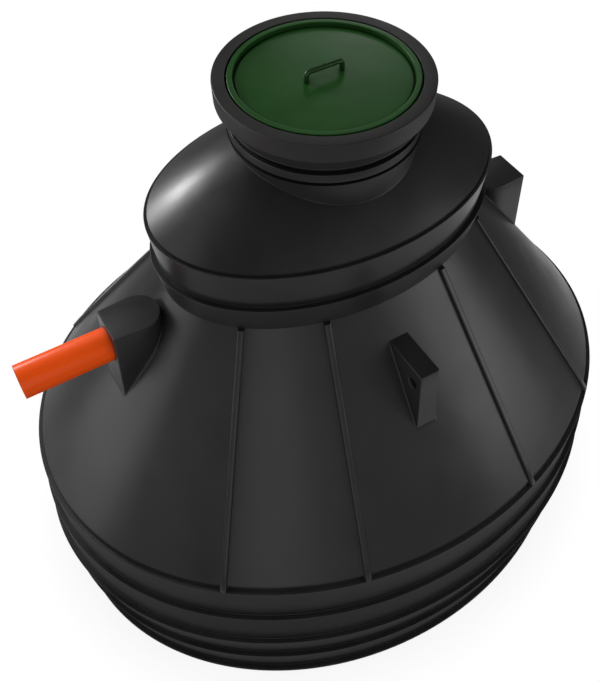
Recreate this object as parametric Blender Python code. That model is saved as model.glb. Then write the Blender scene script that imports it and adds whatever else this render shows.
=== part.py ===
"""Sewage holding tank with a hooped oval body, sloping ribbed shoulders, a domed collar, a round manhole and an inlet pipe.

Metres, +Z up. The origin is on the ground under the middle of the base. The tank is long along X, the inlet is at -X
and the blank outlet boss at +X. The size of an oval is a pair: its half length along X and its half width along Y.
"""

import math

import bmesh
import bpy
from mathutils import Matrix, Vector

# Mesh fineness
SEGMENTS = 64
PIPE_SEGMENTS = 24
BAR_SEGMENTS = 16
SHARP_ANGLE = math.radians(30.0)

# Fits
GAP = 0.0003
WALL = 0.010

# Body hoops, listed from the top one down: the body swells a little to its middle, and its half width is less than its
# half length by one fixed amount. Each hoop, and the base below them, stands out from the foot of the one above by a
# sloping ledge.
HOOP_HALF_LENGTHS = (1.105, 1.117, 1.129, 1.112)
BODY_SLIMNESS = 0.200
BASE = (1.089, 0.896)
BODY_TOP_Z = 0.710
HOOP_PITCH = 0.171
BASE_LIP_Z = 0.016
BASE_THICKNESS = 0.012
LEDGE = 0.012
LEDGE_DROP = 0.008
INNER_BEND = 0.013

# Shoulder's top edge, and the collar between shoulder and dome
SHOULDER_TOP = (0.566, 0.377)
COLLAR = (0.587, 0.398)
COLLAR_FOOT_Z = 1.409
LOWER_LIP_Z = 1.512
UPPER_LIP_Z = 1.652

# Dome
DOME_RISE = 0.232
DOME_POWER = 1.7
DOME_RINGS = 4

# Neck and manhole
NECK_RADIUS_LOW = 0.279
NECK_RADIUS_HIGH = 0.290
NECK_TOP_Z = 1.851
BAND_RADIUS = 0.287
BAND_FOOT_Z = 1.858
BAND_TOP_Z = 1.886
GROOVE_RADIUS = 0.274
FRAME_FOOT_Z = 1.908
FRAME_FOOT_RADIUS = 0.290
FRAME_EDGE_Z = 1.959
FRAME_EDGE_RADIUS = 0.3195
FRAME_TOP_Z = 2.019
FRAME_TOP_RADIUS = 0.3215
SEAT_Z = 1.990
THROAT_RADIUS = 0.260

# Lid
LID_RADIUS = 0.277
LID_CLEARANCE = 0.005
LID_RIM_WIDTH = 0.018
LID_DISH_DEPTH = 0.012
HANDLE_SPAN = 0.118
HANDLE_RISE = 0.033
HANDLE_RADIUS = 0.008
HANDLE_BEND = 0.016
HANDLE_BEND_STEPS = 3

# Shoulder ribs: the direction that the shoulder faces at each one's top and foot, in degrees from the tank's own end
RIB_FACINGS = {
    "inlet_front": (51.2, 51.5),
    "inlet_middle": (75.6, 74.8),
    "outlet_front": (47.3, 51.7),
    "outlet_middle": (73.9, 75.4),
}
RIB_WIDTH = 0.022
RIB_REACH = 0.014
RIB_FOOT_RISE = 0.009
RIB_SETBACK = 0.002

# Inlet pipe and the two bosses, which widen from a flat face and end in a blunt round. Their faces lean by the moulding
# draft, out and down.
PIPE_RADIUS = 0.055
PIPE_WALL = 0.0032
PIPE_Z = 1.302
PIPE_OUTER_X = -1.072
PIPE_INNER_X = -0.560
BOSS_HALF_WIDTH = 0.075
BOSS_TAPER = 0.063
BOSS_STRAIGHT = 0.095
BOSS_ROUND = 0.081
BOSS_ROUND_STEPS = 12
BOSS_SQUARENESS = 2.2
BOSS_DEPTH = 0.340
INLET_BOSS_FACE_X = 0.780
INLET_BOSS_TOP_Z = 1.385
OUTLET_BOSS_FACE_X = 0.820
OUTLET_BOSS_TOP_Z = 1.3165
BOSS_DRAFT = 0.040

# Lifting lugs
LUG_HALF_THICKNESS = 0.035
LUG_TIP_Y = 0.6225
LUG_ROOT_Y = 0.438
LUG_TOP_Z = 1.311
LUG_DEPTH = 0.300
LUG_TIP_DRAFT = 0.055
LUG_SIDE_DRAFT = 0.005
LUG_HOLE_RADIUS = 0.020
LUG_HOLE_Y = 0.584
LUG_HOLE_Z = 1.247

# Worked out from the above
HOOPS = [(length, length - BODY_SLIMNESS) for length in HOOP_HALF_LENGTHS]
SHOULDER_FOOT_Z = BODY_TOP_Z + LEDGE_DROP
DOME_FOOT_Z = UPPER_LIP_Z + LEDGE_DROP

# Colours, as linear values
BLACK_PLASTIC = (0.020, 0.020, 0.021)
GREEN_PLASTIC = (0.012, 0.050, 0.014)
ORANGE_PLASTIC = (0.560, 0.070, 0.010)
BODY_ROUGHNESS = 0.42
LID_ROUGHNESS = 0.50
PIPE_ROUGHNESS = 0.35


def clear_scene():
    for thing in list(bpy.data.objects):
        bpy.data.objects.remove(thing)


def make_material(name, colour, roughness):
    material = bpy.data.materials.new(name)
    material.use_nodes = True
    shader = material.node_tree.nodes["Principled BSDF"]
    shader.inputs["Base Color"].default_value = (*colour, 1.0)
    shader.inputs["Roughness"].default_value = roughness
    shader.inputs["Metallic"].default_value = 0.0
    return material


def add_object(name, builder, colour=BLACK_PLASTIC, roughness=BODY_ROUGHNESS):
    """Turns a bmesh into a named object with a material of its own."""
    bmesh.ops.recalc_face_normals(builder, faces=builder.faces)
    mesh = bpy.data.meshes.new(name)
    builder.to_mesh(mesh)
    builder.free()
    mesh.shade_smooth()
    mesh.set_sharp_from_angle(angle=SHARP_ANGLE)
    thing = bpy.data.objects.new(name, mesh)
    thing.data.materials.append(make_material(name, colour, roughness))
    bpy.context.scene.collection.objects.link(thing)
    return thing


def make_cutter(name, builder):
    cutter = add_object(name, builder)
    cutter.hide_render = True
    cutter.display_type = "WIRE"
    return cutter


def cut(thing, cutter):
    change = thing.modifiers.new(cutter.name, "BOOLEAN")
    change.operation = "DIFFERENCE"
    change.solver = "EXACT"
    change.object = cutter


def grown(size, amount):
    """The size of an oval that stands out by the amount all round."""
    return (size[0] + amount, size[1] + amount)


SHOULDER_FOOT = grown(HOOPS[0], -LEDGE)
DOME = grown(COLLAR, -LEDGE)


def turns(count):
    return [2 * math.pi * i / count for i in range(count)]


def oval_point(size, z, facing):
    """The point of an ellipse whose outward side faces the given direction, so that equal steps turn the wall evenly."""
    along = size[0] * math.cos(facing)
    across = size[1] * math.sin(facing)
    reach = math.hypot(along, across)
    return Vector((size[0] * along / reach, size[1] * across / reach, z))


def oval_ring(size, z):
    return [oval_point(size, z, facing) for facing in turns(SEGMENTS)]


def round_ring(radius, z):
    return oval_ring((radius, radius), z)


def pipe_ring(radius, x):
    return [Vector((x, radius * math.cos(t), PIPE_Z + radius * math.sin(t))) for t in turns(PIPE_SEGMENTS)]


def bridge(builder, first, second):
    count = len(first)
    for i in range(count):
        j = (i + 1) % count
        builder.faces.new((first[i], first[j], second[j], second[i]))


def lofted(rings, closed=True):
    """A bmesh through rings of points: closed on itself like a tyre, or capped flat at its two end rings."""
    builder = bmesh.new()
    loops = [[builder.verts.new(point) for point in ring] for ring in rings]
    for first, second in zip(loops, loops[1:]):
        bridge(builder, first, second)
    if closed:
        bridge(builder, loops[-1], loops[0])
    else:
        builder.faces.new(loops[0])
        builder.faces.new(loops[-1])
    return builder


def make_tier(name, lip, lip_z, foot, foot_z):
    """One hoop of wall: a ledge out to the lip, then a wall down to its foot, which stands on the next ledge."""
    root = grown(lip, -LEDGE)
    rings = [
        oval_ring(grown(root, -WALL), lip_z + LEDGE_DROP),
        oval_ring(root, lip_z + LEDGE_DROP),
        oval_ring(lip, lip_z),
        oval_ring(foot, foot_z + GAP),
        oval_ring(grown(foot, -WALL), foot_z + GAP),
        oval_ring(grown(lip, -INNER_BEND), lip_z - WALL),
    ]
    add_object(name, lofted(rings))


def make_base():
    """Flat floor with a rim that stands out as the lowest hoop."""
    root = grown(BASE, -LEDGE)
    rings = [
        oval_ring(BASE, 0.0),
        oval_ring(BASE, BASE_LIP_Z),
        oval_ring(root, BASE_LIP_Z + LEDGE_DROP),
        oval_ring(grown(root, -WALL), BASE_LIP_Z + LEDGE_DROP),
        oval_ring(grown(root, -2 * WALL), BASE_THICKNESS),
    ]
    add_object("base_floor", lofted(rings, closed=False))


def make_body_hoops():
    lips = HOOPS + [BASE]
    lip_heights = [BODY_TOP_Z - i * HOOP_PITCH for i in range(len(HOOPS))] + [BASE_LIP_Z]
    for i in range(len(HOOPS)):
        foot_z = lip_heights[i + 1] + LEDGE_DROP
        make_tier(f"wall_hoop_{i + 1}", lips[i], lip_heights[i], grown(lips[i + 1], -LEDGE), foot_z)


def make_envelope_cutter():
    """Outer shape of the top hoop, the shoulder and the lower collar, grown by the fitting gap."""
    rings = [
        oval_ring(grown(HOOPS[0], GAP), BODY_TOP_Z - HOOP_PITCH),
        oval_ring(grown(HOOPS[0], GAP), BODY_TOP_Z + GAP),
        oval_ring(grown(SHOULDER_FOOT, GAP), SHOULDER_FOOT_Z + 2 * GAP),
        oval_ring(grown(SHOULDER_TOP, GAP), COLLAR_FOOT_Z + GAP),
        oval_ring(grown(COLLAR, GAP), LOWER_LIP_Z),
    ]
    return make_cutter("envelope_cutter", lofted(rings, closed=False))


def make_shoulder(pipe_cutter):
    foot_z = SHOULDER_FOOT_Z + GAP
    rings = [
        oval_ring(SHOULDER_FOOT, foot_z),
        oval_ring(SHOULDER_TOP, COLLAR_FOOT_Z),
        oval_ring(grown(SHOULDER_TOP, -WALL), COLLAR_FOOT_Z),
        oval_ring(grown(SHOULDER_FOOT, -WALL), foot_z),
    ]
    cut(add_object("shoulder_shell", lofted(rings)), pipe_cutter)


def make_collar():
    make_tier("collar_lower", COLLAR, LOWER_LIP_Z, SHOULDER_TOP, COLLAR_FOOT_Z)
    make_tier("collar_upper", COLLAR, UPPER_LIP_Z, grown(COLLAR, -LEDGE), LOWER_LIP_Z + LEDGE_DROP)


def dome_height(x, y):
    """Height of the dome's outer surface."""
    share = math.hypot(x / DOME[0], y / DOME[1])
    return DOME_FOOT_Z + DOME_RISE * (1.0 - min(share, 1.0) ** DOME_POWER)


def dome_ring(share, inset, drop):
    """A ring part of the way from the dome's oval edge to its round hole."""
    ring = []
    hole = NECK_RADIUS_LOW - WALL
    for edge in oval_ring(DOME, 0.0):
        around = math.atan2(edge.y, edge.x)
        inner = Vector((hole * math.cos(around), hole * math.sin(around), 0.0))
        place = edge.lerp(inner, share)
        shrink = 1.0 - inset / place.length
        ring.append(Vector((place.x * shrink, place.y * shrink, dome_height(place.x, place.y) + GAP - drop)))
    return ring


def make_dome():
    outer = [dome_ring(i / DOME_RINGS, 0.0, 0.0) for i in range(DOME_RINGS + 1)]
    inner = [dome_ring(i / DOME_RINGS, WALL * (1.0 - i / DOME_RINGS), WALL) for i in range(DOME_RINGS, 0, -1)]
    foot = oval_ring(grown(DOME, -WALL), DOME_FOOT_Z + GAP)
    add_object("dome_cap", lofted(outer + inner + [foot]))


def neck_foot_ring(radius):
    """A ring that follows the dome, one gap above it."""
    points = round_ring(radius, 0.0)
    return [Vector((point.x, point.y, dome_height(point.x, point.y) + 2 * GAP)) for point in points]


def make_neck():
    """Round riser whose foot follows the dome."""
    rings = [
        neck_foot_ring(NECK_RADIUS_LOW),
        round_ring(NECK_RADIUS_HIGH, NECK_TOP_Z),
        round_ring(THROAT_RADIUS, NECK_TOP_Z),
        neck_foot_ring(NECK_RADIUS_LOW - WALL),
    ]
    add_object("neck_riser", lofted(rings))


def make_neck_band():
    """Band under the frame, between the two recesses that show as dark grooves."""
    rings = [
        round_ring(THROAT_RADIUS, NECK_TOP_Z + GAP),
        round_ring(GROOVE_RADIUS, NECK_TOP_Z + GAP),
        round_ring(GROOVE_RADIUS, BAND_FOOT_Z),
        round_ring(BAND_RADIUS, BAND_FOOT_Z),
        round_ring(BAND_RADIUS, BAND_TOP_Z),
        round_ring(GROOVE_RADIUS, BAND_TOP_Z),
        round_ring(GROOVE_RADIUS, FRAME_FOOT_Z - GAP),
        round_ring(THROAT_RADIUS, FRAME_FOOT_Z - GAP),
    ]
    add_object("neck_band", lofted(rings))


def make_frame():
    """Manhole frame: an upright skirt that tapers in at its foot, a flat top and a seat for the lid."""
    seat_radius = LID_RADIUS + LID_CLEARANCE
    rings = [
        round_ring(THROAT_RADIUS, FRAME_FOOT_Z),
        round_ring(FRAME_FOOT_RADIUS, FRAME_FOOT_Z),
        round_ring(FRAME_EDGE_RADIUS, FRAME_EDGE_Z),
        round_ring(FRAME_TOP_RADIUS, FRAME_TOP_Z),
        round_ring(seat_radius, FRAME_TOP_Z),
        round_ring(seat_radius, SEAT_Z),
        round_ring(THROAT_RADIUS, SEAT_Z),
    ]
    add_object("manhole_frame", lofted(rings))


def make_lid(lid_axis):
    """Green lid: a raised rim round a shallow dish. Its origin is on the line along which it lifts."""
    dish_radius = LID_RADIUS - LID_RIM_WIDTH
    rings = [
        round_ring(LID_RADIUS, SEAT_Z + GAP),
        round_ring(LID_RADIUS, FRAME_TOP_Z),
        round_ring(dish_radius, FRAME_TOP_Z),
        round_ring(dish_radius - LID_DISH_DEPTH, FRAME_TOP_Z - LID_DISH_DEPTH),
    ]
    lid = add_object("lid_plate", lofted(rings, closed=False), GREEN_PLASTIC, LID_ROUGHNESS)
    lid.parent = lid_axis


def handle_path():
    """Staple shape: up one leg, round a bend, along the grip and down again."""
    foot_z = FRAME_TOP_Z - LID_DISH_DEPTH + GAP
    bend_z = foot_z + HANDLE_RISE - HANDLE_BEND
    half = HANDLE_SPAN / 2
    rising = []
    for i in range(HANDLE_BEND_STEPS + 1):
        turn = math.pi / 2 * i / HANDLE_BEND_STEPS
        out = half - HANDLE_BEND + HANDLE_BEND * math.cos(turn)
        rising.append((out, bend_z + HANDLE_BEND * math.sin(turn)))
    path = [Vector((-half, 0.0, foot_z))]
    path += [Vector((-out, 0.0, z)) for out, z in rising]
    path += [Vector((out, 0.0, z)) for out, z in reversed(rising)]
    path.append(Vector((half, 0.0, foot_z)))
    return path


def make_handle(lid_axis):
    """Round bar bent to a staple, standing on the dish."""
    path = handle_path()
    side = Vector((0.0, HANDLE_RADIUS, 0.0))
    rings = []
    for i, point in enumerate(path):
        along = (path[min(i + 1, len(path) - 1)] - path[max(i - 1, 0)]).normalized()
        if i in (0, len(path) - 1):
            along = Vector((0.0, 0.0, 1.0 if i == 0 else -1.0))
        other = along.cross(side)
        rings.append([point + math.cos(t) * side + math.sin(t) * other for t in turns(BAR_SEGMENTS)])
    handle = add_object("lid_handle", lofted(rings, closed=False), GREEN_PLASTIC, LID_ROUGHNESS)
    handle.parent = lid_axis


def make_rib(name, top_facing, foot_facing, envelope):
    """A straight bar down the slope of the shoulder, flat on top at the collar's foot, ending at the top hoop's lip."""
    top = oval_point(SHOULDER_TOP, COLLAR_FOOT_Z, top_facing)
    foot = oval_point(grown(HOOPS[0], -RIB_SETBACK), BODY_TOP_Z, foot_facing)
    outward = Vector((foot.x - top.x, foot.y - top.y, 0.0)).normalized()
    side = Vector((-outward.y, outward.x, 0.0)) * RIB_WIDTH / 2
    up = Vector((0.0, 0.0, 1.0))
    profile = [
        foot - up * RIB_REACH,
        foot + up * RIB_FOOT_RISE,
        top + outward * RIB_REACH,
        top - outward * RIB_REACH,
    ]
    builder = lofted([[point - side for point in profile], [point + side for point in profile]], closed=False)
    cut(add_object(name, builder), envelope)


def make_ribs(envelope):
    for side_name, side_sign in (("near", -1), ("far", 1)):
        for place, angles in RIB_FACINGS.items():
            facings = [side_sign * math.radians(angle) for angle in angles]
            if place.startswith("inlet"):
                facings = [side_sign * math.pi - facing for facing in facings]
            make_rib(f"rib_{side_name}_{place}", *facings, envelope)


def boss_outline(direction, face_x, drop):
    """D-shaped plan with its flat front outwards, which leans out by the moulding draft as it goes down."""
    front = face_x + BOSS_DRAFT * drop
    back = face_x - BOSS_STRAIGHT
    half_width = BOSS_HALF_WIDTH - BOSS_TAPER * (front - back)
    outline = [(front, -half_width), (front, half_width)]
    for i in range(BOSS_ROUND_STEPS + 1):
        turn = math.pi * i / BOSS_ROUND_STEPS
        inward = math.sin(turn) ** (2 / BOSS_SQUARENESS)
        sideways = math.copysign(abs(math.cos(turn)) ** (2 / BOSS_SQUARENESS), math.cos(turn))
        outline.append((back - BOSS_ROUND * inward, BOSS_HALF_WIDTH * sideways))
    return [(direction * x, y) for x, y in outline]


def make_boss(name, direction, face_x, top_z, cutters):
    rings = []
    for drop in (0.0, BOSS_DEPTH):
        rings.append([Vector((x, y, top_z - drop)) for x, y in boss_outline(direction, face_x, drop)])
    boss = add_object(name, lofted(rings, closed=False))
    for cutter in cutters:
        cut(boss, cutter)


def make_pipe():
    """Plain drain pipe through the inlet boss into the tank."""
    bore = PIPE_RADIUS - PIPE_WALL
    rings = [
        pipe_ring(bore, PIPE_OUTER_X),
        pipe_ring(PIPE_RADIUS, PIPE_OUTER_X),
        pipe_ring(PIPE_RADIUS, PIPE_INNER_X),
        pipe_ring(bore, PIPE_INNER_X),
    ]
    add_object("inlet_pipe", lofted(rings), ORANGE_PLASTIC, PIPE_ROUGHNESS)


def make_pipe_cutter():
    """Hole for the pipe, longer than the pipe inside the tank."""
    radius = PIPE_RADIUS + GAP
    rings = [pipe_ring(radius, PIPE_OUTER_X), pipe_ring(radius, PIPE_INNER_X + PIPE_RADIUS)]
    return make_cutter("pipe_cutter", lofted(rings, closed=False))


def make_lug(name, side_sign, cutters):
    """Upright plate on the shoulder, flat on top, with an eye across it."""
    rings = []
    foot_tip_y = LUG_TIP_Y + LUG_TIP_DRAFT * LUG_DEPTH
    for x_sign in (-1, 1):
        corners = []
        for y, drop in ((LUG_ROOT_Y, 0.0), (LUG_TIP_Y, 0.0), (foot_tip_y, LUG_DEPTH), (LUG_ROOT_Y, LUG_DEPTH)):
            x = x_sign * (LUG_HALF_THICKNESS + LUG_SIDE_DRAFT * drop)
            corners.append(Vector((x, side_sign * y, LUG_TOP_Z - drop)))
        rings.append(corners)
    lug = add_object(name, lofted(rings, closed=False))
    for cutter in cutters:
        cut(lug, cutter)


def make_eye_cutter(name, side_sign):
    """A round bar through the lug, along X."""
    builder = bmesh.new()
    centre = Vector((0.0, side_sign * LUG_HOLE_Y, LUG_HOLE_Z))
    place = Matrix.Translation(centre) @ Matrix.Rotation(math.pi / 2, 4, "Y")
    bmesh.ops.create_cone(builder, cap_ends=True, segments=BAR_SEGMENTS, radius1=LUG_HOLE_RADIUS,
                          radius2=LUG_HOLE_RADIUS, depth=4 * LUG_HALF_THICKNESS, matrix=place)
    return make_cutter(name, builder)


def main():
    clear_scene()
    envelope = make_envelope_cutter()
    pipe_cutter = make_pipe_cutter()
    lid_axis = bpy.data.objects.new("lid_axis", None)
    bpy.context.scene.collection.objects.link(lid_axis)
    make_base()
    make_body_hoops()
    make_shoulder(pipe_cutter)
    make_collar()
    make_dome()
    make_neck()
    make_neck_band()
    make_frame()
    make_lid(lid_axis)
    make_handle(lid_axis)
    make_ribs(envelope)
    make_boss("inlet_boss", -1, INLET_BOSS_FACE_X, INLET_BOSS_TOP_Z, (envelope, pipe_cutter))
    make_boss("outlet_boss", 1, OUTLET_BOSS_FACE_X, OUTLET_BOSS_TOP_Z, (envelope,))
    make_pipe()
    for side_name, side_sign in (("near", -1), ("far", 1)):
        eye_cutter = make_eye_cutter(f"eye_cutter_{side_name}", side_sign)
        make_lug(f"lifting_lug_{side_name}", side_sign, (envelope, eye_cutter))


main()
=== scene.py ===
"""Looks of the sewage holding tank: moulded shells, ribs, bosses, lugs, lid and pipe around the fixed frame.

Metres, +Z up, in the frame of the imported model.
The size of an oval is a pair: half length along X, half width along Y.
A profile is a list of corners (out, z, before, after), each rounded off over those lengths either side of it.
"""
import math

import bmesh
import bpy
from mathutils import Matrix, Vector


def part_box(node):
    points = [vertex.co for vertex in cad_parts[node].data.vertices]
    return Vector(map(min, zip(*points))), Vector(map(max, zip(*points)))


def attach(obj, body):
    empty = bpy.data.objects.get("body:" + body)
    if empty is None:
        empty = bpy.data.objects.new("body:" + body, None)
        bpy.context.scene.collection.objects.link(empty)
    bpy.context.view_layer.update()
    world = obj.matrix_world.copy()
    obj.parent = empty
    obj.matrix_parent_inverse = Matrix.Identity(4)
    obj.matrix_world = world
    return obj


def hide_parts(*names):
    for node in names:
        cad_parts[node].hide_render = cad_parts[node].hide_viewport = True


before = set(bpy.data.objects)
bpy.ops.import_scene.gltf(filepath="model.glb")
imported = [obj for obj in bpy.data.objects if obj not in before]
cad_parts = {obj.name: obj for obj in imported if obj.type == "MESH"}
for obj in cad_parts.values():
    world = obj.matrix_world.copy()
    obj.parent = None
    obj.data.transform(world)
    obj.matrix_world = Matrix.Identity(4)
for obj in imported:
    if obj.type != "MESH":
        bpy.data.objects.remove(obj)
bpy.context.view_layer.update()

# Mesh fineness
SEGMENTS = 240
CORNER_STEPS = 6
PIPE_SEGMENTS = 96
BAR_SEGMENTS = 32
SHARP_ANGLE = math.radians(42.0)

# Moulded details of the shell: a groove dips behind each lip, and the wall above stands in it on a fillet
WALL = 0.010
INNER_SHIFT = 0.003
LIP_DROP = 0.008
FOOT_INSET = 0.020
GROOVE_DIP = 0.003
SHOULDER_FOOT_INSET = 0.006
SHOULDER_FOOT_BEND = 0.003
LIP_SOFTNESS = 0.0022
FOOT_FILLET_UP = 0.004
FOOT_FILLET_OUT = 0.003
SHOULDER_FILLET_UP = 0.006
SHOULDER_FILLET_OUT = 0.002
BASE_EDGE = 0.004
SINK = 0.0006

# Shoulder's top edge, inside the collar's lips
CREASE_INSET = 0.021
CREASE_DEPTH = 0.004

# Dome and neck
DOME_RISE = 0.232
DOME_POWER = 1.7
DOME_RINGS = 28
DOME_INNER_RINGS = 7
NECK_LEAN = 0.011
NECK_FILLET = 0.0015
NECK_FILLET_STEPS = 6
THROAT_RADIUS = 0.260

# Band and manhole frame
GROOVE_RADIUS = 0.269
BAND_FOOT_RISE = 0.0067
BAND_HEIGHT = 0.028
BAND_EDGE = 0.002
FRAME_FOOT_INSET = 0.034
FRAME_TAPER_HEIGHT = 0.051
FRAME_EDGE_INSET = 0.002
FRAME_EDGE = 0.004
FRAME_BEAD = 0.0025
SEAT_RADIUS = 0.282
SEAT_DEPTH = 0.029

# Lid
LID_EDGE = 0.0025
LID_RIM_WIDTH = 0.017
LID_GUTTER_WIDTH = 0.006
LID_GUTTER_DEPTH = 0.023
LID_PLATE_EDGE_DEPTH = 0.014
LID_CROWN_DEPTH = 0.010
LID_RINGS = 16
HANDLE_BEND = 0.016

# Ribs: the direction that the shoulder faces at each one's top and foot, in degrees from the nearer end
RIB_FACINGS = {
    "inlet_front": (51.2, 51.5),
    "inlet_middle": (75.6, 74.8),
    "outlet_front": (47.3, 51.7),
    "outlet_middle": (73.9, 75.4),
}
RIB_WIDTH = 0.022
RIB_REACH = 0.014
RIB_FOOT_REACH = 0.0115
RIB_SIDE_DRAFT = 0.0015
RIB_EDGE = 0.006
RIB_FILLET = 0.002
RIB_ROOT = 0.006
RIB_STATIONS = 12
RIB_FOOT_STATION = 0.08

# Bosses and lugs, moulded on the shoulder as stumps
BOSS_HALF_WIDTH = 0.075
BOSS_TAPER = 0.063
BOSS_STRAIGHT = 0.095
BOSS_ROUND = 0.081
BOSS_SQUARENESS = 2.2
BOSS_CORNER = 0.004
BOSS_DRAFT = 0.040
STUMP_EDGE = 0.004
STUMP_FILLET = 0.007
STUMP_FILLET_SHARE = 0.6
STUMP_DEPTH = 0.340
STUMP_STEPS = 4
STUMP_ROOT = 0.004
LUG_TIP_DRAFT = 0.055
LUG_SIDE_DRAFT = 0.005
LUG_ROOT_Y = 0.438
LUG_CORNER = 0.003
LUG_EYE_RADIUS = 0.020
LUG_EYE_FLARE = 0.003
LUG_EYE_Y = 0.584
LUG_EYE_Z = 1.247

# Pipe
PIPE_WALL = 0.0032
PIPE_CHAMFER = 0.003
PIPE_CHAMFER_DEPTH = 0.0008
PIPE_HOLE_SLACK = 0.0015

# Camera, found from the photograph: principal point and focal length in pixels of its frame
IMAGE_WIDTH = 600
IMAGE_HEIGHT = 681
PRINCIPAL_X = 315.5
PRINCIPAL_Y = 290.0
FOCAL_PIXELS = 915.98
CAMERA_PLACE = Vector((-1.143, -1.855, 3.542))
CAMERA_YAW = math.radians(-30.93)
CAMERA_PITCH = math.radians(48.3)
CAMERA_ROLL = math.radians(-0.2)
SENSOR = 36.0

# Outlines of stumps: shares of the front face's half width, steps along their sides and rounds, and how many
# times a span is halved to find where they meet the slope
FACE_SHARES = (0.02, 0.35, 0.70)
SIDE_STEPS = 5
ROUND_STEPS = 24
HALVINGS = 30

# Materials: linear colours, noise per metre, and lengths of bumps and hollows in metres
BLACK = (0.0180, 0.0180, 0.0185)
FRAME_BLACK = (0.0200, 0.0190, 0.0185)
GREEN = (0.0130, 0.0700, 0.0100)
HANDLE_GREEN = (0.010, 0.045, 0.008)
ORANGE = (0.95, 0.090, 0.002)
PATCH_SCALE = 7.0
PATCH_DETAIL = 6.0
PATCH_RANGE = (0.3, 0.7)
GLOSS_CHANGE = 0.04
WAVE_SCALE = 9.0
WAVE_DETAIL = 1.0
WAVE_DEPTH = 0.0010
GRAIN_DETAIL = 3.0
BUMP_STRENGTH = 1.0
# Hollows, found by an ambient occlusion node: painted shade darkens the colour there, and the roughness rises
HOLLOW_REACH = 0.030
HOLLOW_SAMPLES = 8
HOLLOW_SPAN = (0.30, 0.85)
HOLLOW_PAINTED_SHADE = 0.30
HOLLOW_ROUGHENING = 1.8

# Floor and surroundings: brightness as radiance, spans in shares of the base's oval, the rest in metres
FLOOR_WHITE = 1.0
FLOOR_SHADED = 0.85
FLOOR_SHADE_REACH = 0.20
FLOOR_DIM = 0.13
FLOOR_PALE = 0.98
FLOOR_PALE_SPAN = (1.45, 1.75)
FLOOR_FADE_SPAN = (2.0, 2.7)
FLOOR_FADED = 0.15
FLOOR_MATT_SHARE = 0.25
FLOOR_RADIUS = 30.0
FLOOR_SEGMENTS = 96
FLOOR_DROP = 0.001
WORLD_BRIGHTNESS = 0.05


def size_of(node):
    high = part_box(node)[1]
    return (high.x, high.y)


def lip_z_of(node):
    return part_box(node)[1].z - LIP_DROP


def grown(size, amount):
    return (size[0] + amount, size[1] + amount)


HOOP_NODES = ["wall_hoop_1", "wall_hoop_2", "wall_hoop_3", "wall_hoop_4"]
SHOULDER_FOOT = size_of("shoulder_shell")
SHOULDER_FOOT_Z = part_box("shoulder_shell")[0].z
SHOULDER_TOP = grown(size_of("collar_lower"), -CREASE_INSET)
SHOULDER_TOP_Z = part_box("shoulder_shell")[1].z
DOME = size_of("dome_cap")
DOME_FOOT_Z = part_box("dome_cap")[0].z


def turns(count):
    return [2 * math.pi * i / count for i in range(count)]


def oval_point(size, z, facing):
    """The point of an ellipse whose outward side faces the given direction."""
    along = size[0] * math.cos(facing)
    across = size[1] * math.sin(facing)
    reach = math.hypot(along, across)
    return Vector((size[0] * along / reach, size[1] * across / reach, z))


def oval_ring(size, z):
    return [oval_point(size, z, facing) for facing in turns(SEGMENTS)]


def round_ring(radius, z):
    return oval_ring((radius, radius), z)


def curve_point(start, corner, end, t):
    """A point of the smooth curve that leaves the start towards the corner and comes to the end from it."""
    return start * (1 - t) ** 2 + corner * 2 * t * (1 - t) + end * t ** 2


def soft_path(corners, steps=CORNER_STEPS):
    """The points of a profile, with its corners rounded off."""
    path = []
    count = len(corners)
    for i, (out, z, before, after) in enumerate(corners):
        corner = Vector((out, z))
        if not before and not after:
            path.append(corner)
            continue
        last = Vector(corners[i - 1][:2])
        following = Vector(corners[(i + 1) % count][:2])
        start = corner + (last - corner).normalized() * before
        end = corner + (following - corner).normalized() * after
        path += [curve_point(start, corner, end, k / steps) for k in range(steps + 1)]
    return path


def finish_mesh(name, builder, material, body, node):
    """Turns a bmesh into a piece that rides on a body and stands for a node."""
    bmesh.ops.recalc_face_normals(builder, faces=builder.faces)
    mesh = bpy.data.meshes.new(name)
    builder.to_mesh(mesh)
    builder.free()
    mesh.shade_smooth()
    mesh.set_sharp_from_angle(angle=SHARP_ANGLE)
    mesh.materials.append(material)
    piece = bpy.data.objects.new(name, mesh)
    bpy.context.scene.collection.objects.link(piece)
    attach(piece, body)
    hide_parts(node)
    return piece


def finish_shell(node, builder, material):
    """A black piece of the tank that stands for a node."""
    return finish_mesh(node + "_skin", builder, material, "tank", node)


def bridge(builder, first, second):
    count = len(first)
    for i in range(count):
        j = (i + 1) % count
        builder.faces.new((first[i], first[j], second[j], second[i]))


def lofted(rings, closed=True):
    """A bmesh through rings of points: closed on itself like a tyre, or capped flat at its two end rings."""
    builder = bmesh.new()
    loops = [[builder.verts.new(point) for point in ring] for ring in rings]
    for first, second in zip(loops, loops[1:]):
        bridge(builder, first, second)
    if closed:
        bridge(builder, loops[-1], loops[0])
    else:
        builder.faces.new(loops[0])
        builder.faces.new(loops[-1])
    return builder


def no_slimness(_):
    return 0.0


def turned(profile, closed=True, slimness_at=no_slimness):
    """Turns a profile round an oval, less wide than it is long by the slimness at each height."""
    rings = [oval_ring((point.x, point.x - slimness_at(point.y)), point.y) for point in soft_path(profile)]
    return lofted(rings, closed)


def foot_profile(foot, foot_z, fillet_up, fillet_out):
    """A wall's foot, going down: a fillet onto the groove's floor and, a little below it, back inside."""
    spread = fillet_out + SINK
    return [
        (foot, foot_z, fillet_up, fillet_out),
        (foot + spread, foot_z + spread * GROOVE_DIP / FOOT_INSET - SINK, 0, 0),
        (foot - WALL, foot_z - SINK, 0, 0),
    ]


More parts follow.
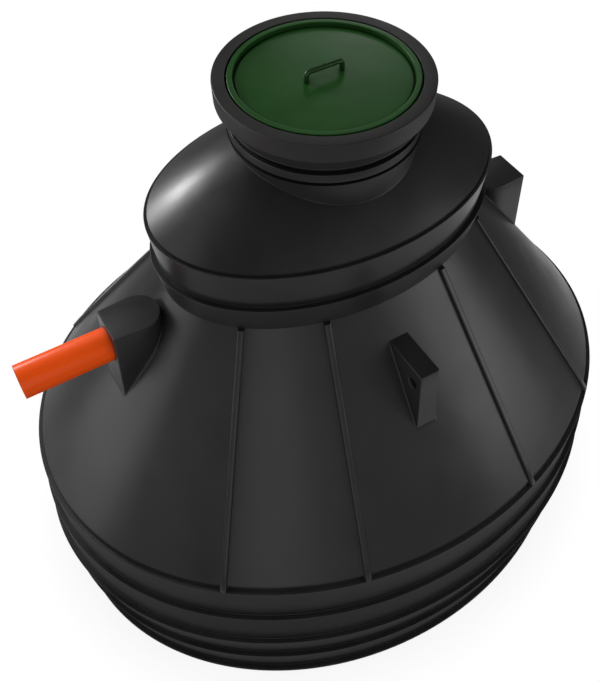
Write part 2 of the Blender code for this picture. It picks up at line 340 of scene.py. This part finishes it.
def groove_profile(lip, lip_z):
    """A groove, going out: from under the wall above up to a soft lip."""
    return [
        (lip - FOOT_INSET - WALL, lip_z - GROOVE_DIP, 0, 0),
        (lip - FOOT_INSET, lip_z - GROOVE_DIP, 0, 0),
        (lip, lip_z, LIP_SOFTNESS, LIP_SOFTNESS),
    ]


def slimness_of(node):
    length, width = size_of(node)
    return length - width


def make_tier(node, foot, material, below):
    """One tier: a groove, a soft lip, and a wall down to its foot, as slim there as what is below."""
    lip = size_of(node)[0]
    lip_z = lip_z_of(node)
    foot_z = min(corner[1] for corner in foot)
    change = slimness_of(below) - slimness_of(node)

    def slimness_at(z):
        return slimness_of(node) + change * max(0.0, (lip_z - z) / (lip_z - foot_z))

    inner_bend = (lip - WALL - INNER_SHIFT, lip_z - WALL, 0, 0)
    profile = groove_profile(lip, lip_z) + foot + [inner_bend]
    finish_shell(node, turned(profile, slimness_at=slimness_at), material)


def make_body_hoops(material):
    """Each hoop stands in the groove of the next one."""
    for node, below in zip(HOOP_NODES, HOOP_NODES[1:] + ["base_floor"]):
        foot = size_of(below)[0] - FOOT_INSET
        profile = foot_profile(foot, lip_z_of(below) - GROOVE_DIP, FOOT_FILLET_UP, FOOT_FILLET_OUT)
        make_tier(node, profile, material, below)


def make_collar(material):
    """The upper tier stands in the lower one's groove. The lower tier ends in a crease on the shoulder."""
    lip = size_of("collar_lower")[0]
    foot = lip - FOOT_INSET
    foot_z = lip_z_of("collar_lower") - GROOVE_DIP
    profile = foot_profile(foot, foot_z, FOOT_FILLET_UP, FOOT_FILLET_OUT)
    make_tier("collar_upper", profile, material, "collar_lower")
    lean = CREASE_INSET / (lip_z_of("collar_lower") - SHOULDER_TOP_Z)
    crease = SHOULDER_TOP[0] - CREASE_DEPTH * lean
    crease_z = SHOULDER_TOP_Z - CREASE_DEPTH
    profile = [(crease, crease_z, 0, 0), (crease - WALL, crease_z, 0, 0)]
    make_tier("collar_lower", profile, material, "collar_lower")


def make_base(material):
    """The floor and its rim, which stands out as the lowest hoop."""
    lip = size_of("base_floor")[0]
    slimness = slimness_of("base_floor")
    profile = [
        (lip - 2 * WALL, 0.0, 0, 0),
        (lip, 0.0, BASE_EDGE, BASE_EDGE),
    ] + groove_profile(lip, lip_z_of("base_floor"))[::-1]
    finish_shell("base_floor", turned(profile, closed=False, slimness_at=lambda _: slimness), material)


def make_shoulder(material):
    """Straight slope from the top hoop to the collar, which bends down into the hoop's groove."""
    top = SHOULDER_TOP[0]
    foot = SHOULDER_FOOT[0] - SHOULDER_FOOT_INSET
    slope = (SHOULDER_TOP_Z - SHOULDER_FOOT_Z) / (SHOULDER_FOOT[0] - top)
    bend_z = SHOULDER_FOOT_Z + slope * SHOULDER_FOOT_INSET
    profile = [
        (top - WALL, SHOULDER_TOP_Z, 0, 0),
        (top, SHOULDER_TOP_Z, 0, 0),
        (foot, bend_z, SHOULDER_FILLET_UP, SHOULDER_FOOT_BEND),
    ]
    groove_z = lip_z_of("wall_hoop_1") - GROOVE_DIP
    profile += foot_profile(foot, groove_z, SHOULDER_FILLET_OUT, SHOULDER_FILLET_OUT)
    rings = []
    for point in soft_path(profile):
        share = (point.x - top) / (SHOULDER_FOOT[0] - top)
        width = SHOULDER_TOP[1] + (SHOULDER_FOOT[1] - SHOULDER_TOP[1]) * share
        rings.append(oval_ring((point.x, width), point.y))
    finish_shell("shoulder_shell", lofted(rings), material)


def dome_height(x, y):
    share = math.hypot(x / DOME[0], y / DOME[1])
    return DOME_FOOT_Z + DOME_RISE * (1.0 - min(share, 1.0) ** DOME_POWER)


def on_dome(radius, around, drop=0.0):
    """A point under the dome's surface by the drop, at a radius and a direction round the neck."""
    x = radius * math.cos(around)
    y = radius * math.sin(around)
    return Vector((x, y, dome_height(x, y) - drop))


def dome_ring(share, drop=0.0, inset=0.0):
    """A ring part of the way from the dome's oval edge to the circle of its hole."""
    ring = []
    for edge in oval_ring(DOME, 0.0):
        around = math.atan2(edge.y, edge.x)
        hole = Vector((THROAT_RADIUS * math.cos(around), THROAT_RADIUS * math.sin(around), 0.0))
        place = edge.lerp(hole, share)
        ring.append(on_dome(place.length, around, drop) - place.normalized() * inset)
    return ring


def make_dome(material):
    """Thin curved shell from the collar's top groove to the throat."""
    outer = [dome_ring(i / DOME_RINGS) for i in range(DOME_RINGS + 1)]
    inner = []
    for share in (i / DOME_INNER_RINGS for i in range(DOME_INNER_RINGS, 0, -1)):
        inner.append(dome_ring(share, WALL, WALL * (1 - share)))
    foot_z = lip_z_of("collar_upper") - GROOVE_DIP - SINK
    skirt = oval_ring(DOME, foot_z)
    foot = oval_ring(grown(DOME, -WALL), foot_z)
    finish_shell("dome_cap", lofted([skirt] + outer + inner + [foot]), material)


def make_neck(material):
    """Round riser that leans out as it rises, with a small fillet onto the dome."""
    top_radius = size_of("neck_riser")[0]
    top_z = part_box("neck_riser")[1].z
    low_radius = top_radius - NECK_LEAN
    rings = []
    for k in range(NECK_FILLET_STEPS + 1):
        ring = []
        for around in turns(SEGMENTS):
            out = on_dome(low_radius + NECK_FILLET, around, SINK)
            corner = on_dome(low_radius, around)
            up = corner + Vector((0.0, 0.0, NECK_FILLET))
            ring.append(curve_point(out, corner, up, k / NECK_FILLET_STEPS))
        rings.append(ring)
    rings.append(round_ring(top_radius, top_z))
    rings.append(round_ring(THROAT_RADIUS, top_z))
    rings.append([on_dome(THROAT_RADIUS, around, WALL / 2) for around in turns(SEGMENTS)])
    rings.append([on_dome(low_radius + NECK_FILLET, around, WALL / 2) for around in turns(SEGMENTS)])
    finish_shell("neck_riser", lofted(rings), material)


def make_band(material):
    """Band between the two dark grooves under the frame."""
    low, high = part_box("neck_band")
    foot_z = low.z + BAND_FOOT_RISE
    top_z = foot_z + BAND_HEIGHT
    profile = [
        (THROAT_RADIUS, low.z, 0, 0),
        (GROOVE_RADIUS, low.z, 0, 0),
        (GROOVE_RADIUS, foot_z, 0, 0),
        (high.x, foot_z, BAND_EDGE, BAND_EDGE),
        (high.x, top_z, BAND_EDGE, BAND_EDGE),
        (GROOVE_RADIUS, top_z, 0, 0),
        (GROOVE_RADIUS, high.z, 0, 0),
        (THROAT_RADIUS, high.z, 0, 0),
    ]
    finish_shell("neck_band", turned(profile), material)


def make_frame(material):
    """Manhole frame: a bead at the foot, a taper, an upright skirt, a flat top and the lid's seat."""
    low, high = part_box("manhole_frame")
    foot = high.x - FRAME_FOOT_INSET
    seat_z = high.z - SEAT_DEPTH
    profile = [
        (THROAT_RADIUS, low.z, 0, 0),
        (foot - FRAME_BEAD, low.z, 0, 0),
        (foot + FRAME_BEAD, low.z, FRAME_BEAD, FRAME_BEAD),
        (foot + FRAME_BEAD, low.z + 2 * FRAME_BEAD, FRAME_BEAD, FRAME_BEAD),
        (foot + FRAME_BEAD / 2, low.z + 2 * FRAME_BEAD, 0, 0),
        (high.x - FRAME_EDGE_INSET, low.z + FRAME_TAPER_HEIGHT, FRAME_EDGE, FRAME_EDGE),
        (high.x, high.z, FRAME_EDGE, FRAME_EDGE),
        (SEAT_RADIUS, high.z, LID_EDGE, LID_EDGE),
        (SEAT_RADIUS, seat_z, 0, 0),
        (THROAT_RADIUS, seat_z, 0, 0),
    ]
    finish_shell("manhole_frame", turned(profile), material)


def make_lid(material):
    """Lid with a flat rim, a deep gutter inside it and a plate that crowns towards the middle."""
    low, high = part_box("lid_plate")
    rim = high.x - LID_RIM_WIDTH
    plate = rim - LID_GUTTER_WIDTH
    crown_rise = LID_PLATE_EDGE_DEPTH - LID_CROWN_DEPTH
    profile = [
        (high.x, low.z, 0, 0),
        (high.x, high.z, LID_EDGE, LID_EDGE),
        (rim, high.z, LID_EDGE, LID_EDGE),
        (rim, high.z - LID_GUTTER_DEPTH, 0, 0),
        (plate, high.z - LID_GUTTER_DEPTH, 0, 0),
        (plate, high.z - LID_PLATE_EDGE_DEPTH, LID_EDGE, LID_EDGE),
    ]
    for i in range(LID_RINGS - 1, 0, -1):
        share = i / LID_RINGS
        profile.append((plate * share, high.z - LID_PLATE_EDGE_DEPTH + crown_rise * (1 - share ** 2), 0, 0))
    finish_mesh("lid_skin", turned(profile, closed=False), material, "lid", "lid_plate")


def make_handle(material):
    """Round bar bent to a staple."""
    low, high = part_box("lid_handle")
    radius = (high.y - low.y) / 2
    half = high.x - radius
    profile = [
        (-half, low.z, 0, 0),
        (-half, high.z - radius, HANDLE_BEND, HANDLE_BEND),
        (half, high.z - radius, HANDLE_BEND, HANDLE_BEND),
        (half, low.z, 0, 0),
    ]
    path = [Vector((point.x, 0.0, point.y)) for point in soft_path(profile)]
    side = Vector((0.0, radius, 0.0))
    rings = []
    for i, point in enumerate(path):
        along = (path[min(i + 1, len(path) - 1)] - path[max(i - 1, 0)]).normalized()
        other = along.cross(side)
        rings.append([point + math.cos(t) * side + math.sin(t) * other for t in turns(BAR_SEGMENTS)])
    finish_mesh("handle_skin", lofted(rings, closed=False), material, "lid", "lid_handle")


def rib_section(reach):
    """A soft-edged bar on the shoulder, cut level: its corners across the slope and out from it."""
    half = RIB_WIDTH / 2
    right = [
        (half + RIB_FILLET, -RIB_ROOT, 0, 0),
        (half + RIB_FILLET, 0.0, 0, 0),
        (half, 0.0, RIB_FILLET, RIB_FILLET),
        (half - RIB_SIDE_DRAFT, reach, RIB_EDGE, RIB_EDGE),
    ]
    left = [(-across, out, after, before) for across, out, before, after in reversed(right)]
    return soft_path(right + left)


def make_rib(node, top_facing, foot_facing, material):
    """A soft-edged bar down the slope, from a flat top under the collar to the lip of the top hoop."""
    top = oval_point(SHOULDER_TOP, SHOULDER_TOP_Z, top_facing)
    foot = oval_point(SHOULDER_FOOT, SHOULDER_FOOT_Z, foot_facing)
    outward = Vector((foot.x - top.x, foot.y - top.y, 0.0)).normalized()
    side = Vector((-outward.y, outward.x, 0.0))
    stations = [0.0, RIB_FOOT_STATION] + [k / RIB_STATIONS for k in range(2, RIB_STATIONS + 1)]
    places = [(foot - Vector((0.0, 0.0, WALL)), RIB_FOOT_REACH)]
    for share in stations:
        rise = min(share / RIB_FOOT_STATION, 1.0)
        places.append((foot.lerp(top, share), RIB_FOOT_REACH + (RIB_REACH - RIB_FOOT_REACH) * rise))
    rings = []
    for place, reach in places:
        rings.append([place + side * point.x + outward * point.y for point in rib_section(reach)])
    finish_shell(node, lofted(rings, closed=False), material)


def make_ribs(material):
    for side_name, side_sign in (("near", -1), ("far", 1)):
        for place, angles in RIB_FACINGS.items():
            facings = [side_sign * math.radians(angle) for angle in angles]
            if place.startswith("inlet"):
                facings = [side_sign * math.pi - facing for facing in facings]
            make_rib(f"rib_{side_name}_{place}", *facings, material)


def shoulder_size(z):
    """Size of the shoulder's oval at a height, on its straight slope."""
    share = (z - SHOULDER_FOOT_Z) / (SHOULDER_TOP_Z - SHOULDER_FOOT_Z)
    return [foot + (top - foot) * share for foot, top in zip(SHOULDER_FOOT, SHOULDER_TOP)]


def is_outside_shoulder(point):
    length, width = shoulder_size(point.z)
    return math.hypot(point.x / length, point.y / width) > 1.0


def halved(near, far, is_past):
    """The value between two at which a test turns true, found by halving."""
    for _ in range(HALVINGS):
        middle = (near + far) / 2
        if is_past(middle):
            far = middle
        else:
            near = middle
    return near


def shoulder_z(x, y):
    """Height of the shoulder's surface over a place on the plan."""
    return halved(SHOULDER_FOOT_Z, SHOULDER_TOP_Z, lambda z: is_outside_shoulder(Vector((x, y, z))))


def outward_normals(outline):
    """Outward directions on the plan of a closed outline that runs anticlockwise."""
    normals = []
    count = len(outline)
    for i in range(count):
        along = outline[(i + 1) % count] - outline[i - 1]
        normals.append(Vector((along.y, -along.x, 0.0)).normalized())
    return normals


class StumpSide:
    """One line down a stump's wall: its start, its fall over a metre and where it meets the shoulder."""

    def __init__(self, start, end, normal):
        self.start = start
        self.fall = end - start
        self.normal = normal
        self.reach = halved(0.0, STUMP_DEPTH, lambda drop: not is_outside_shoulder(start + self.fall * drop))
        self.softness = min(STUMP_FILLET, STUMP_FILLET_SHARE * max(self.reach - STUMP_EDGE, 0.0))

    def edge_point(self, t):
        """On the rounded top edge."""
        turn = math.pi / 2 * t
        inset = STUMP_EDGE * (1.0 - math.sin(turn))
        drop = min(STUMP_EDGE * (1.0 - math.cos(turn)), self.reach)
        return self.start - self.normal * inset + self.fall * drop

    def wall_point(self, t):
        """Between the top edge and the fillet."""
        if self.reach <= STUMP_EDGE:
            return self.start + self.fall * self.reach
        return self.start + self.fall * (STUMP_EDGE + (self.reach - self.softness - STUMP_EDGE) * t)

    def fillet_point(self, t):
        """On the fillet onto the slope."""
        corner = self.start + self.fall * self.reach
        out = corner + self.normal * self.softness
        out.z = min(shoulder_z(out.x, out.y), corner.z)
        return curve_point(corner - self.fall * self.softness, corner, out, t)


def stump_rings(outline_at, top_z):
    """Rings of a stump on the shoulder: a soft top edge, a drafted wall and a fillet onto the slope."""
    upper = [Vector((x, y, top_z)) for x, y in outline_at(0.0)]
    lower = [Vector((x, y, top_z - 1.0)) for x, y in outline_at(1.0)]
    sides = [StumpSide(*parts) for parts in zip(upper, lower, outward_normals(upper))]
    shares = [k / STUMP_STEPS for k in range(STUMP_STEPS + 1)]
    rings = [[side.edge_point(t) for side in sides] for t in shares]
    rings += [[side.wall_point(t) for side in sides] for t in shares[1:]]
    rings += [[side.fillet_point(t) for side in sides] for t in shares[1:]]
    root = Vector((0.0, 0.0, STUMP_ROOT))
    rings.append([point - root - side.normal * (STUMP_ROOT / 2) for point, side in zip(rings[-1], sides)])
    return rings


def stump(outline_at, top_z):
    """A bmesh of a stump. Its outline pairs first points with last ones, so its foot closes in strips."""
    builder = bmesh.new()
    loops = [[builder.verts.new(point) for point in ring] for ring in stump_rings(outline_at, top_z)]
    for first, second in zip(loops, loops[1:]):
        bridge(builder, first, second)
    builder.faces.new(loops[0])
    foot = loops[-1]
    count = len(foot)
    for i in range(count // 2 - 1):
        builder.faces.new((foot[i], foot[i + 1], foot[count - 2 - i], foot[count - 1 - i]))
    return builder


def corner_points(front, side, radius):
    """A rounded corner of an outline, from its front face round to its side."""
    points = []
    for turn in (math.pi / 2 * k / STUMP_STEPS for k in range(STUMP_STEPS + 1)):
        points.append((front - radius * (1 - math.cos(turn)), side - radius * (1 - math.sin(turn))))
    return points


def both_halves(half, turn_plan):
    """A closed outline from one half of it, given from the front's middle back to the rear's middle."""
    return [turn_plan(x, y) for x, y in half] + [turn_plan(x, -y) for x, y in reversed(half)]


def boss_outline(direction, face_x):
    """Plan of a boss with a flat face and a blunt round back, as a function of the drop below its top."""
    def at(drop):
        front = face_x + BOSS_DRAFT * drop
        back = face_x - BOSS_STRAIGHT
        half_width = BOSS_HALF_WIDTH - BOSS_TAPER * (front - back)
        half = [(front, half_width * share) for share in FACE_SHARES]
        half += corner_points(front, half_width, BOSS_CORNER)
        for share in (k / SIDE_STEPS for k in range(1, SIDE_STEPS)):
            half.append((front + (back - front) * share, half_width + (BOSS_HALF_WIDTH - half_width) * share))
        for turn in (math.pi / 2 * (k + 0.5) / ROUND_STEPS for k in range(ROUND_STEPS)):
            inward = math.sin(turn) ** (2 / BOSS_SQUARENESS)
            sideways = math.cos(turn) ** (2 / BOSS_SQUARENESS)
            half.append((back - BOSS_ROUND * inward, BOSS_HALF_WIDTH * sideways))
        return both_halves(half, lambda x, y: (direction * x, direction * y))
    return at


def lug_outline(side_sign, tip_y, half_thickness):
    """Plan of a lug with soft corners at its tip, as a function of the drop below its top."""
    def at(drop):
        side = half_thickness + LUG_SIDE_DRAFT * drop
        tip = tip_y + LUG_TIP_DRAFT * drop
        half = [(tip, side * share) for share in FACE_SHARES]
        half += corner_points(tip, side, LUG_CORNER)
        half += [(tip + (LUG_ROOT_Y - tip) * k / ROUND_STEPS, side) for k in range(1, ROUND_STEPS + 1)]
        half.append((LUG_ROOT_Y, side * FACE_SHARES[0]))
        return both_halves(half, lambda x, y: (-side_sign * y, side_sign * x))
    return at


def ring_across_x(x, centre_y, centre_z, radius):
    """A round ring of points that faces along X."""
    ring = []
    for t in turns(PIPE_SEGMENTS):
        ring.append(Vector((x, centre_y + radius * math.cos(t), centre_z + radius * math.sin(t))))
    return ring


def bar_along_x(stations, centre_y, centre_z):
    """A round bar along X through stations of place and radius."""
    return lofted([ring_across_x(x, centre_y, centre_z, radius) for x, radius in stations], closed=False)


def cut_away(piece, builder):
    """Cuts a shape out of a piece for good."""
    bmesh.ops.recalc_face_normals(builder, faces=builder.faces)
    mesh = bpy.data.meshes.new("cutter")
    builder.to_mesh(mesh)
    builder.free()
    cutter = bpy.data.objects.new("cutter", mesh)
    bpy.context.scene.collection.objects.link(cutter)
    change = piece.modifiers.new("cut", "BOOLEAN")
    change.operation = "DIFFERENCE"
    change.solver = "EXACT"
    change.object = cutter
    graph = bpy.context.evaluated_depsgraph_get()
    piece.data = bpy.data.meshes.new_from_object(piece.evaluated_get(graph))
    piece.modifiers.clear()
    piece.data.shade_smooth()
    piece.data.set_sharp_from_angle(angle=SHARP_ANGLE)
    bpy.data.objects.remove(cutter)


def make_boss(node, direction, material):
    low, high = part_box(node)
    reach = max(high.x, -low.x)
    face_x = reach - BOSS_DRAFT * (high.z - low.z)
    return finish_shell(node, stump(boss_outline(direction, face_x), high.z), material)


def make_bosses(material):
    make_boss("outlet_boss", 1, material)
    inlet_boss = make_boss("inlet_boss", -1, material)
    low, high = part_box("inlet_pipe")
    radius = high.y + PIPE_HOLE_SLACK
    stations = [(low.x, radius), (high.x, radius)]
    cut_away(inlet_boss, bar_along_x(stations, 0.0, (low.z + high.z) / 2))


def make_lugs(material):
    """Upright plates with a flared eye across them."""
    for node, side_sign in (("lifting_lug_near", -1), ("lifting_lug_far", 1)):
        low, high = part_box(node)
        depth = high.z - low.z
        tip_y = max(high.y, -low.y) - LUG_TIP_DRAFT * depth
        half_thickness = high.x - LUG_SIDE_DRAFT * depth
        lug = finish_shell(node, stump(lug_outline(side_sign, tip_y, half_thickness), high.z), material)
        flat = half_thickness + LUG_SIDE_DRAFT * (high.z - LUG_EYE_Z)
        flare = LUG_EYE_FLARE
        stations = [(flat + flare, LUG_EYE_RADIUS + 2 * flare), (flat - flare, LUG_EYE_RADIUS)]
        stations += [(-x, radius) for x, radius in reversed(stations)]
        cut_away(lug, bar_along_x(stations, side_sign * LUG_EYE_Y, LUG_EYE_Z))


def make_pipe(material):
    """Plain drain pipe with a small chamfer at its open end."""
    low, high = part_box("inlet_pipe")
    radius = high.y
    bore = radius - PIPE_WALL
    centre_z = (low.z + high.z) / 2
    stations = [
        (low.x, bore),
        (low.x, radius - PIPE_CHAMFER_DEPTH),
        (low.x + PIPE_CHAMFER, radius),
        (high.x, radius),
        (high.x, bore),
    ]
    rings = [ring_across_x(x, 0.0, centre_z, out) for x, out in stations]
    finish_mesh("pipe_skin", lofted(rings), material, "tank", "inlet_pipe")


def noise(nodes, links, place, scale, detail):
    texture = nodes.new("ShaderNodeTexNoise")
    texture.inputs["Scale"].default_value = scale
    texture.inputs["Detail"].default_value = detail
    links.new(place.outputs["Object"], texture.inputs["Vector"])
    return texture


def bumped(nodes, links, texture, distance, under=None):
    bump = nodes.new("ShaderNodeBump")
    bump.inputs["Strength"].default_value = BUMP_STRENGTH
    bump.inputs["Distance"].default_value = distance
    links.new(texture.outputs["Fac"], bump.inputs["Height"])
    if under:
        links.new(under.outputs["Normal"], bump.inputs["Normal"])
    return bump


def ramp(nodes, links, source, span, values):
    """Turns a span of the source's values into another one, held at both ends."""
    turned_value = nodes.new("ShaderNodeMapRange")
    turned_value.inputs["From Min"].default_value = span[0]
    turned_value.inputs["From Max"].default_value = span[1]
    turned_value.inputs["To Min"].default_value = values[0]
    turned_value.inputs["To Max"].default_value = values[1]
    links.new(source, turned_value.inputs["Value"])
    return turned_value.outputs["Result"]


def multiplied(nodes, links, first, second):
    product = nodes.new("ShaderNodeMath")
    product.operation = "MULTIPLY"
    links.new(first, product.inputs[0])
    links.new(second, product.inputs[1])
    return product.outputs["Value"]


def plastic(name, colour, mottle, roughness, specular, grain_scale, grain_depth):
    """Moulded plastic: a faint mottle, patches of more and less gloss, a slow waviness and a fine grain.

    Its tight hollows are rougher, and darker by painted shade from an ambient occlusion node.
    """
    material = bpy.data.materials.new(name)
    material.use_nodes = True
    nodes = material.node_tree.nodes
    links = material.node_tree.links
    shader = nodes["Principled BSDF"]
    shader.inputs["Specular IOR Level"].default_value = specular
    hollow = nodes.new("ShaderNodeAmbientOcclusion")
    hollow.samples = HOLLOW_SAMPLES
    hollow.inputs["Distance"].default_value = HOLLOW_REACH
    place = nodes.new("ShaderNodeTexCoord")
    patches = noise(nodes, links, place, PATCH_SCALE, PATCH_DETAIL)
    shade = nodes.new("ShaderNodeValToRGB")
    for element, position, change in zip(shade.color_ramp.elements, PATCH_RANGE, (1 - mottle, 1 + mottle)):
        element.position = position
        element.color = (*[channel * change for channel in colour], 1.0)
    links.new(patches.outputs["Fac"], shade.inputs["Fac"])
    # Painted shade: ambient occlusion darkens the colour in tight hollows
    painted_hollow_shade = ramp(nodes, links, hollow.outputs["AO"], HOLLOW_SPAN, (HOLLOW_PAINTED_SHADE, 1.0))
    hollow_shaded_colour = nodes.new("ShaderNodeVectorMath")
    hollow_shaded_colour.operation = "SCALE"
    links.new(shade.outputs["Color"], hollow_shaded_colour.inputs[0])
    links.new(painted_hollow_shade, hollow_shaded_colour.inputs["Scale"])
    links.new(hollow_shaded_colour.outputs["Vector"], shader.inputs["Base Color"])
    roughening = ramp(nodes, links, hollow.outputs["AO"], HOLLOW_SPAN, (HOLLOW_ROUGHENING, 1.0))
    rough_range = (roughness - GLOSS_CHANGE, roughness + GLOSS_CHANGE)
    rough = ramp(nodes, links, patches.outputs["Fac"], PATCH_RANGE, rough_range)
    links.new(multiplied(nodes, links, rough, roughening), shader.inputs["Roughness"])
    waves = bumped(nodes, links, noise(nodes, links, place, WAVE_SCALE, WAVE_DETAIL), WAVE_DEPTH)
    grain = bumped(nodes, links, noise(nodes, links, place, grain_scale, GRAIN_DETAIL), grain_depth, waves)
    links.new(grain.outputs["Normal"], shader.inputs["Normal"])
    return material


def make_camera():
    """The photograph's viewpoint and framing."""
    cos_pitch = math.cos(CAMERA_PITCH)
    back_x = math.sin(CAMERA_YAW) * cos_pitch
    back_y = -math.cos(CAMERA_YAW) * cos_pitch
    back = Vector((back_x, back_y, math.sin(CAMERA_PITCH)))
    level = Vector((math.cos(CAMERA_YAW), math.sin(CAMERA_YAW), 0.0))
    turn = Matrix.Rotation(CAMERA_ROLL, 3, back)
    axes = Matrix((turn @ level, turn @ back.cross(level), back)).transposed().to_4x4()
    long_side = max(IMAGE_WIDTH, IMAGE_HEIGHT)
    data = bpy.data.cameras.new("photo_camera")
    data.sensor_width = SENSOR
    data.lens = SENSOR * FOCAL_PIXELS / long_side
    data.shift_x = (IMAGE_WIDTH / 2 - PRINCIPAL_X) / long_side
    data.shift_y = (PRINCIPAL_Y - IMAGE_HEIGHT / 2) / long_side
    camera = bpy.data.objects.new("photo_camera", data)
    camera.matrix_world = Matrix.Translation(CAMERA_PLACE) @ axes
    bpy.context.scene.collection.objects.link(camera)
    bpy.context.scene.camera = camera


def softbox(name, azimuth, distance, centre_z, width, height, radiance, target_z=1.0):
    """A flat light at an azimuth round the tank, in degrees, that faces a height on the tank's axis."""
    data = bpy.data.lights.new(name, "AREA")
    data.shape = "RECTANGLE"
    data.size = width
    data.size_y = height
    data.energy = radiance * math.pi * width * height
    light = bpy.data.objects.new(name, data)
    angle = math.radians(azimuth)
    place = Vector((distance * math.cos(angle), distance * math.sin(angle), centre_z))
    aim = place - Vector((0.0, 0.0, target_z))
    light.location = place
    light.rotation_euler = aim.to_track_quat("Z", "Y").to_euler()
    bpy.context.scene.collection.objects.link(light)
    return light


def make_lights():
    """Tall softboxes round the tank, weak wide fills, small lights behind it and a wide one overhead."""
    softbox("right_softbox", azimuth=-47.0, distance=3.2, centre_z=1.75, width=1.7, height=2.3, radiance=3.0)
    softbox("right_edge_softbox", azimuth=-20.0, distance=3.2, centre_z=2.3, width=1.0, height=1.8,
            radiance=0.1)
    softbox("front_softbox", azimuth=-125.0, distance=3.3, centre_z=1.9, width=1.4, height=2.6, radiance=1.5)
    softbox("front_fill", azimuth=-90.0, distance=3.6, centre_z=2.4, width=3.6, height=4.0, radiance=0.42)
    softbox("left_fill", azimuth=-158.0, distance=3.3, centre_z=1.7, width=1.3, height=2.2, radiance=0.6)
    softbox("left_softbox", azimuth=163.0, distance=3.2, centre_z=1.5, width=2.4, height=2.1, radiance=2.4)
    softbox("left_high_softbox", azimuth=165.0, distance=3.4, centre_z=4.2, width=2.2, height=1.2,
            radiance=1.5)
    softbox("glint_softbox", azimuth=115.0, distance=4.5, centre_z=3.1, width=1.0, height=1.0,
            radiance=42.0, target_z=1.7)
    softbox("back_high_softbox", azimuth=98.0, distance=4.2, centre_z=7.0, width=1.6, height=1.6,
            radiance=5.5, target_z=2.0)
    softbox("lid_softbox", azimuth=54.0, distance=4.2, centre_z=3.9, width=1.2, height=1.2,
            radiance=2.4, target_z=2.0)
    overhead = softbox("top_light", azimuth=0.0, distance=0.01, centre_z=7.0, width=6.0, height=6.0,
                       radiance=0.7, target_z=0.0)
    overhead.visible_glossy = False


def make_world():
    """Surroundings that look white and light the tank only dimly."""
    world = bpy.data.worlds.new("studio")
    bpy.context.scene.world = world
    world.use_nodes = True
    nodes = world.node_tree.nodes
    links = world.node_tree.links
    rays = nodes.new("ShaderNodeLightPath")
    is_seen = rays.outputs["Is Camera Ray"]
    brightness = ramp(nodes, links, is_seen, (0.0, 1.0), (WORLD_BRIGHTNESS, FLOOR_WHITE))
    surroundings = nodes["Background"]
    surroundings.inputs["Color"].default_value = (1.0, 1.0, 1.0, 1.0)
    links.new(brightness, surroundings.inputs["Strength"])


def make_floor_paint():
    """White to look at, with a faint shade round the tank's foot.

    What the tank reflects of it is a pale ring, dim inside and fading outwards, by shares of the base's oval.
    """
    material = bpy.data.materials.new("floor_paint")
    material.use_nodes = True
    nodes = material.node_tree.nodes
    links = material.node_tree.links
    nodes.clear()
    shade = nodes.new("ShaderNodeAmbientOcclusion")
    shade.inputs["Distance"].default_value = FLOOR_SHADE_REACH
    shade.inputs["Color"].default_value = (1.0, 1.0, 1.0, 1.0)
    seen = nodes.new("ShaderNodeEmission")
    seen_strength = ramp(nodes, links, shade.outputs["AO"], (0.0, 1.0), (FLOOR_SHADED, FLOOR_WHITE))
    links.new(seen_strength, seen.inputs["Strength"])
    place = nodes.new("ShaderNodeTexCoord")
    oval = nodes.new("ShaderNodeVectorMath")
    oval.operation = "DIVIDE"
    oval.inputs[1].default_value = (*size_of("base_floor"), 1.0)
    links.new(place.outputs["Object"], oval.inputs[0])
    distance = nodes.new("ShaderNodeVectorMath")
    distance.operation = "LENGTH"
    links.new(oval.outputs["Vector"], distance.inputs[0])
    pale = ramp(nodes, links, distance.outputs["Value"], FLOOR_PALE_SPAN, (FLOOR_DIM, FLOOR_PALE))
    fading = ramp(nodes, links, distance.outputs["Value"], FLOOR_FADE_SPAN, (1.0, FLOOR_FADED))
    rays = nodes.new("ShaderNodeLightPath")
    matt = ramp(nodes, links, rays.outputs["Is Glossy Ray"], (0.0, 1.0), (FLOOR_MATT_SHARE, 1.0))
    reflected = nodes.new("ShaderNodeEmission")
    glow = multiplied(nodes, links, multiplied(nodes, links, pale, fading), matt)
    links.new(glow, reflected.inputs["Strength"])
    mix = nodes.new("ShaderNodeMixShader")
    output = nodes.new("ShaderNodeOutputMaterial")
    links.new(rays.outputs["Is Camera Ray"], mix.inputs["Fac"])
    links.new(reflected.outputs["Emission"], mix.inputs[1])
    links.new(seen.outputs["Emission"], mix.inputs[2])
    links.new(mix.outputs["Shader"], output.inputs["Surface"])
    return material


def make_floor():
    mesh = bpy.data.meshes.new("studio_floor")
    builder = bmesh.new()
    bmesh.ops.create_circle(builder, cap_ends=True, segments=FLOOR_SEGMENTS, radius=FLOOR_RADIUS)
    builder.to_mesh(mesh)
    builder.free()
    floor = bpy.data.objects.new("studio_floor", mesh)
    floor.location.z = -FLOOR_DROP
    mesh.materials.append(make_floor_paint())
    bpy.context.scene.collection.objects.link(floor)


def main():
    bpy.context.scene.view_settings.view_transform = "Standard"
    make_camera()
    black = plastic("black_shell", BLACK, mottle=0.12, roughness=0.36, specular=0.30,
                    grain_scale=900.0, grain_depth=0.00005)
    frame_black = plastic("frame_black", FRAME_BLACK, mottle=0.12, roughness=0.45, specular=0.30,
                          grain_scale=1100.0, grain_depth=0.00010)
    green = plastic("green_lid", GREEN, mottle=0.12, roughness=0.34, specular=0.22,
                    grain_scale=700.0, grain_depth=0.00016)
    handle_green = plastic("green_handle", HANDLE_GREEN, mottle=0.12, roughness=0.30, specular=0.30,
                           grain_scale=700.0, grain_depth=0.00004)
    orange = plastic("orange_pipe", ORANGE, mottle=0.05, roughness=0.36, specular=0.16,
                     grain_scale=500.0, grain_depth=0.00004)
    make_base(black)
    make_body_hoops(black)
    make_shoulder(black)
    make_collar(black)
    make_dome(black)
    make_neck(black)
    make_band(black)
    make_frame(frame_black)
    make_lid(green)
    make_handle(handle_green)
    make_ribs(black)
    make_bosses(black)
    make_lugs(black)
    make_pipe(orange)
    make_lights()
    make_world()
    make_floor()


main()
